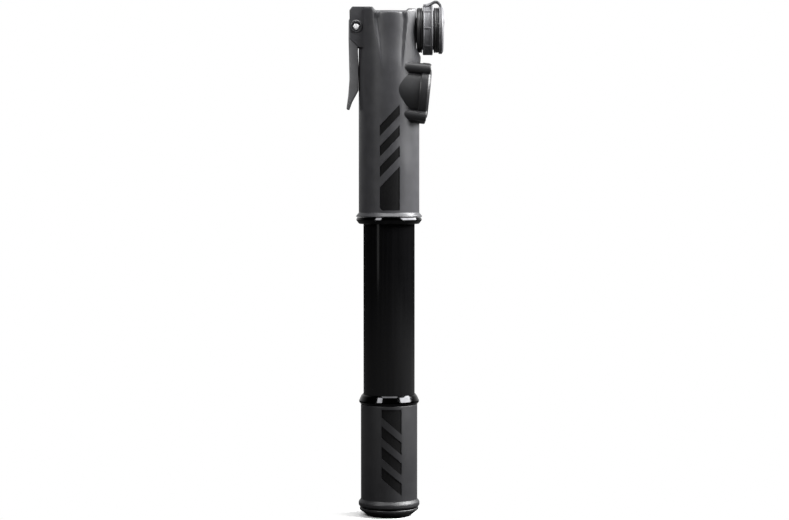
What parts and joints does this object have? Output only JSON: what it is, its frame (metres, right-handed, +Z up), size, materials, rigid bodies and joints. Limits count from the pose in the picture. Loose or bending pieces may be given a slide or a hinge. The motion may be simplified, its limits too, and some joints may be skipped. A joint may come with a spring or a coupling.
{
  "type": "bicycle mini pump",
  "caption": "Slim hand pump with a sliding handle, a lever-locked valve chuck with a tethered dust cap, and a small side gauge.",
  "frame": {"origin": "centre of the flat face of the end cap, which the pump stands on", "axes": "+Z up along the barrel towards the head; +X towards the valve chuck and the gauge"},
  "size_m": [0.0537, 0.0362, 0.283],
  "materials": {
    "moulded_grey": "fine-grained satin moulding, dark grey",
    "moulded_black": "satin black moulding",
    "gloss_black": "polished, black anodised",
    "soft_grey": "matt light grey elastomer",
    "steel": "bright",
    "brass": "plain turned",
    "seal_rubber": "matt black",
    "clear_lens": "clear polycarbonate",
    "dial_white": "printed white dial",
    "needle_red": "painted red"
  },
  "bodies": {
    "pump_head": {"head_body": "moulded_grey", "chuck_nut": "moulded_black", "gauge_housing": "moulded_black", "gauge_bezel": "moulded_black", "valve_block": "moulded_black", "rod_guide": "moulded_black", "lever_bush_front": "moulded_black", "lever_bush_back": "moulded_black", "barrel": "gloss_black", "barrel_collar": "gloss_black", "lever_pin": "steel", "gauge_screw_1": "steel", "gauge_screw_2": "steel", "gauge_screw_3": "steel", "gauge_screw_4": "steel", "bourdon_tube": "brass", "gauge_port_tube": "brass", "chuck_grommet": "seal_rubber", "valve_block_seal": "seal_rubber", "rod_guide_seal": "seal_rubber", "rod_seal": "seal_rubber", "gauge_lens": "clear_lens", "gauge_dial": "dial_white"},
    "plunge": {"piston": "moulded_black", "piston_rod": "steel", "piston_seal": "seal_rubber"},
    "handle": {"handle_sleeve": "moulded_black", "handle_collar": "gloss_black", "handle_end_plug": "moulded_black"},
    "selector": {"selector_cap": "moulded_black", "selector_stem": "brass"},
    "lever": {"thumb_lever": "moulded_grey"},
    "plunger": {"chuck_plunger": "moulded_black", "plunger_seal": "seal_rubber"},
    "dust_ring": {"dust_cap_ring": "soft_grey"},
    "dust_lid": {"dust_cap": "soft_grey"},
    "needle": {"gauge_needle": "needle_red", "needle_spindle": "brass"},
    "valve_disc": {"check_valve": "seal_rubber"}
  },
  "joints": [
    {"name": "handle_slide", "type": "slide", "parent": "pump_head", "child": "plunge", "axis": [0, 0, -1], "range_m": [0, 0.16]},
    {"name": "handle_turn", "type": "hinge", "parent": "plunge", "child": "handle", "pos_m": [0, 0, 0.03], "axis": [0, 0, 1], "continuous": true},
    {"name": "selector_turn", "type": "hinge", "parent": "handle", "child": "selector", "pos_m": [0, 0, 0.003], "axis": [0, 0, 1], "range_deg": [0, 90]},
    {"name": "lever_hinge", "type": "hinge", "parent": "pump_head", "child": "lever", "pos_m": [-0.01785, 0, 0.2684], "axis": [0, 1, 0], "range_deg": [0, 90]},
    {"name": "plunger_slide", "type": "slide", "parent": "pump_head", "child": "plunger", "axis": [1, 0, 0], "range_m": [0, 0.002]},
    {"name": "dust_ring_turn", "type": "hinge", "parent": "pump_head", "child": "dust_ring", "pos_m": [0.0212, 0, 0.2669], "axis": [1, 0, 0], "continuous": true},
    {"name": "dust_cap_swing", "type": "hinge", "parent": "dust_ring", "child": "dust_lid", "pos_m": [0.02575, 0, 0.283], "axis": [0, -1, 0], "range_deg": [0, 130]},
    {"name": "needle_turn", "type": "hinge", "parent": "pump_head", "child": "needle", "pos_m": [0.02155, 0, 0.2322], "axis": [-0.9949, 0, 0.1011], "range_deg": [0, 270]},
    {"name": "check_valve_lift", "type": "slide", "parent": "pump_head", "child": "valve_disc", "axis": [0, 0, 1], "range_m": [0, 0.0012]}
  ],
  "couplings": [
    {"joint": "plunger_slide", "follows": "lever_hinge", "m_per_rad": 0.00127}
  ]
}
